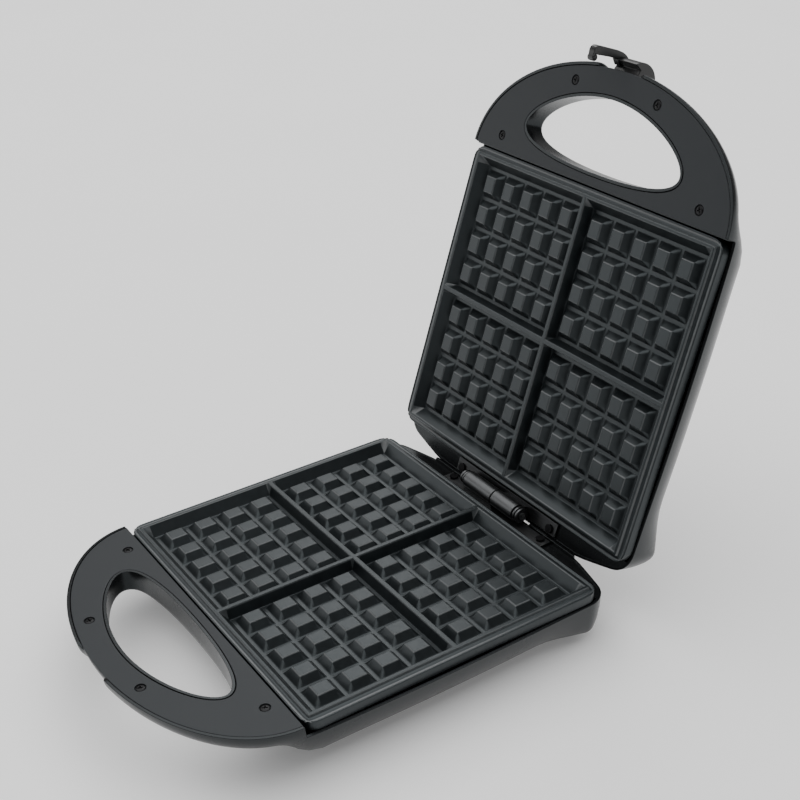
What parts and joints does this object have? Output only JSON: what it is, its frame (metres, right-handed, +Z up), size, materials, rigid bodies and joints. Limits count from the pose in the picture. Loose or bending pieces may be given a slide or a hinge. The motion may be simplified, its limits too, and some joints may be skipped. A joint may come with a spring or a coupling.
{
  "type": "waffle maker",
  "caption": "Hinged electric waffle maker, standing open: two shallow shells with gridded cooking plates, finger-hole handles and a swinging latch.",
  "frame": {"origin": "middle of the open machine's bounding box, on the surface that its feet stand on", "axes": "+X across the machine along the hinge axis, +Y from the handle to the hinge, +Z up; the rest pose is the lid standing open on its stop"},
  "size_m": [0.2418, 0.4032, 0.3292],
  "materials": {
    "shell_plastic": "fine-grained dark grey moulded plastic with a soft sheen",
    "cover_plastic": "matt, finely textured charcoal moulding",
    "nonstick_plate": "cast aluminium under a dark grey non-stick coating, slightly metallic",
    "hinge_steel": "satin grey steel",
    "black_screw": "black-oxide screw",
    "bright_steel": "zinc-plated steel",
    "latch_plastic": "smooth dark grey moulding",
    "foot_rubber": "matt black rubber",
    "inlet_rubber": "matt black rubber",
    "element_sheath": "heat-darkened steel tube",
    "reflector_aluminium": "pressed bare sheet",
    "ceramic": "heat-resistant off-white moulding",
    "wire_sleeve": "woven glass-fibre sleeve",
    "red_lens": "tinted lens",
    "green_lens": "tinted lens"
  },
  "bodies": {
    "base": {"base_housing": "shell_plastic", "base_handle_cover": "cover_plastic", "base_cover_screw_1": "black_screw", "base_cover_screw_2": "black_screw", "base_cover_screw_3": "black_screw", "base_cover_screw_4": "black_screw", "base_waffle_plate": "nonstick_plate", "base_plate_screw_1": "bright_steel", "base_plate_screw_2": "bright_steel", "base_plate_screw_3": "bright_steel", "base_plate_screw_4": "bright_steel", "base_heating_element": "element_sheath", "base_reflector": "reflector_aluminium", "base_element_lead_left": "wire_sleeve", "base_element_lead_right": "wire_sleeve", "base_hinge_screw_left": "black_screw", "base_hinge_screw_right": "black_screw", "base_hinge_leaf": "hinge_steel", "base_thermostat": "ceramic", "base_terminal_block": "ceramic", "cord_inlet_bushing": "inlet_rubber", "foot_front_left": "foot_rubber", "foot_front_right": "foot_rubber", "foot_rear_left": "foot_rubber", "foot_rear_right": "foot_rubber", "hinge_pin": "bright_steel", "hinge_collar_left": "hinge_steel", "hinge_collar_right": "hinge_steel"},
    "lid": {"lid_housing": "shell_plastic", "lid_handle_cover": "cover_plastic", "lid_cover_screw_1": "black_screw", "lid_cover_screw_2": "black_screw", "lid_cover_screw_3": "black_screw", "lid_cover_screw_4": "black_screw", "lid_waffle_plate": "nonstick_plate", "lid_plate_screw_1": "bright_steel", "lid_plate_screw_2": "bright_steel", "lid_plate_screw_3": "bright_steel", "lid_plate_screw_4": "bright_steel", "lid_heating_element": "element_sheath", "lid_reflector": "reflector_aluminium", "lid_element_lead_left": "wire_sleeve", "lid_element_lead_right": "wire_sleeve", "lid_hinge_screw_left": "black_screw", "lid_hinge_screw_right": "black_screw", "lid_hinge_leaf": "hinge_steel", "lid_thermal_fuse": "ceramic", "latch_pin": "bright_steel", "power_lamp_lens": "red_lens", "ready_lamp_lens": "green_lens"},
    "latch": {"latch": "latch_plastic"}
  },
  "joints": [
    {"name": "lid_hinge", "type": "hinge", "parent": "base", "child": "lid", "pos_m": [0, 0.08591, 0.044], "axis": [1, 0, 0], "range_deg": [0, 109.8]},
    {"name": "latch_pivot", "type": "hinge", "parent": "lid", "child": "latch", "pos_m": [0, 0.18869, 0.30587], "axis": [1, 0, 0], "range_deg": [-15, 25]}
  ]
}
